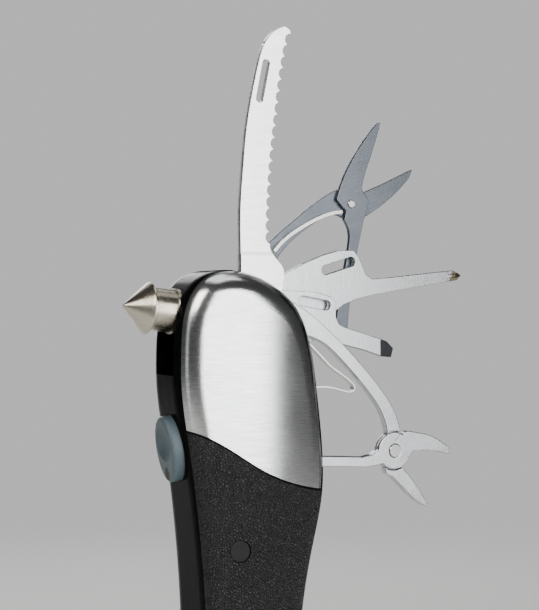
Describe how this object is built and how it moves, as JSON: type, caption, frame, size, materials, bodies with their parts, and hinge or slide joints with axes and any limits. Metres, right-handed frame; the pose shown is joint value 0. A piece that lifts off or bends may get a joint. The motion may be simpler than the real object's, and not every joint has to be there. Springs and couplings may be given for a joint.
{
  "type": "folding multi tool",
  "caption": "Grip-shaped emergency multi tool with folding saw, scissors, drivers and pliers, a cone hammer, a belt cutter and a tail torch.",
  "frame": {"origin": "centre of the tail cap's end face", "axes": "+Z along the grip from the tail to the rounded head, -X the front with the hammer and thumb button, +X the back where the tools fan out, Y across the case"},
  "size_m": [0.1107, 0.03, 0.2286],
  "materials": {
    "housing": "moulded, high gloss black",
    "side_plate": "pressed steel, brushed along the case's width",
    "grip_panel": "fine-grained black grip",
    "plug": "smooth black",
    "fastener": "zinc plated",
    "liner": "stamped steel",
    "spacer": "moulded black",
    "pivot": "turned steel",
    "washer": "stamped brass",
    "saw": "ground steel",
    "driver": "ground steel with dark tips",
    "pliers": "tumbled steel",
    "spring": "spring steel",
    "scissors": "satin steel, greyer than the other tools",
    "hammer": "turned, nickel plated",
    "cutter": "ground blade",
    "button": "satin grey-blue",
    "switch": "moulded",
    "board": "laminate",
    "cap": "ribbed black",
    "lens": "clear",
    "seal": "matt rubber",
    "reflector": "vacuum metallised",
    "lamp": "clear dome over yellow phosphor",
    "cell": "printed sleeve"
  },
  "bodies": {
    "case": {"housing_left": "housing", "housing_right": "housing", "side_plate_left": "side_plate", "side_plate_right": "side_plate", "grip_panel_left": "grip_panel", "grip_panel_right": "grip_panel", "screw_plug_left": "plug", "screw_plug_right": "plug", "panel_screw_left": "fastener", "panel_screw_right": "fastener", "tool_liner_left": "liner", "tool_liner_right": "liner", "bay_spacer": "spacer", "liner_rivets": "pivot", "tool_pivot_pin": "pivot", "tool_washers": "washer", "hammer_tip": "hammer", "hammer_collar": "hammer", "hammer_nut": "fastener", "cutter_blade": "cutter", "switch_body": "switch", "switch_board": "board", "button_spring": "spring", "reflector": "reflector", "light_board": "board", "lamp": "lamp", "cell_carrier": "spacer", "cells": "cell", "contact_spring": "spring", "case_screw_set": "fastener"},
    "saw": {"saw_blade": "saw"},
    "cross_driver": {"cross_driver": "driver"},
    "flat_driver": {"flat_driver": "driver"},
    "pliers": {"pliers_arm": "pliers", "pliers_rivet": "pivot", "pliers_spring": "spring"},
    "pliers_handle": {"pliers_handle": "pliers"},
    "scissors": {"scissors_arm": "scissors", "scissors_rivet": "pivot", "scissors_spring": "spring"},
    "scissors_lever": {"scissors_lever": "scissors"},
    "button": {"thumb_button": "button"},
    "cap": {"tail_cap": "cap", "torch_lens": "lens", "lens_seal": "seal"}
  },
  "joints": [
    {"name": "saw_fold", "type": "hinge", "parent": "case", "child": "saw", "pos_m": [0.0032, 0, 0.1465], "axis": [0, 1, 0], "range_deg": [0, 174]},
    {"name": "cross_driver_fold", "type": "hinge", "parent": "case", "child": "cross_driver", "pos_m": [0.0032, 0, 0.1465], "axis": [0, 1, 0], "range_deg": [0, 98]},
    {"name": "flat_driver_fold", "type": "hinge", "parent": "case", "child": "flat_driver", "pos_m": [0.0032, 0, 0.1465], "axis": [0, 1, 0], "range_deg": [0, 76]},
    {"name": "pliers_fold", "type": "hinge", "parent": "case", "child": "pliers", "pos_m": [0.0032, 0, 0.1465], "axis": [0, 1, 0], "range_deg": [0, 48]},
    {"name": "pliers_squeeze", "type": "hinge", "parent": "pliers", "child": "pliers_handle", "pos_m": [0.0479, 0, 0.1075], "axis": [0, 1, 0], "range_deg": [0, 46.2], "deforming": ["pliers_spring"]},
    {"name": "scissors_fold", "type": "hinge", "parent": "case", "child": "scissors", "pos_m": [0.0032, 0, 0.1465], "axis": [0, 1, 0], "range_deg": [0, 128]},
    {"name": "scissors_cut", "type": "hinge", "parent": "scissors", "child": "scissors_lever", "pos_m": [0.0381, 0, 0.1802], "axis": [0, 1, 0], "range_deg": [0, 34], "deforming": ["scissors_spring"]},
    {"name": "button_press", "type": "slide", "parent": "case", "child": "button", "axis": [0.9871, 0, 0.1599], "range_m": [0, 0.0012], "stiffness_N_per_m": 800, "springref_m": -0.0004, "deforming": ["button_spring"]},
    {"name": "cap_unscrew", "type": "slide", "parent": "case", "child": "cap", "axis": [0, 0, -1], "range_m": [0, 0.02]}
  ],
  "couplings": [
    {"joint": "pliers_squeeze", "follows": "pliers_fold", "ratio": 0.9583},
    {"joint": "scissors_cut", "follows": "scissors_fold", "ratio": 0.2656}
  ]
}
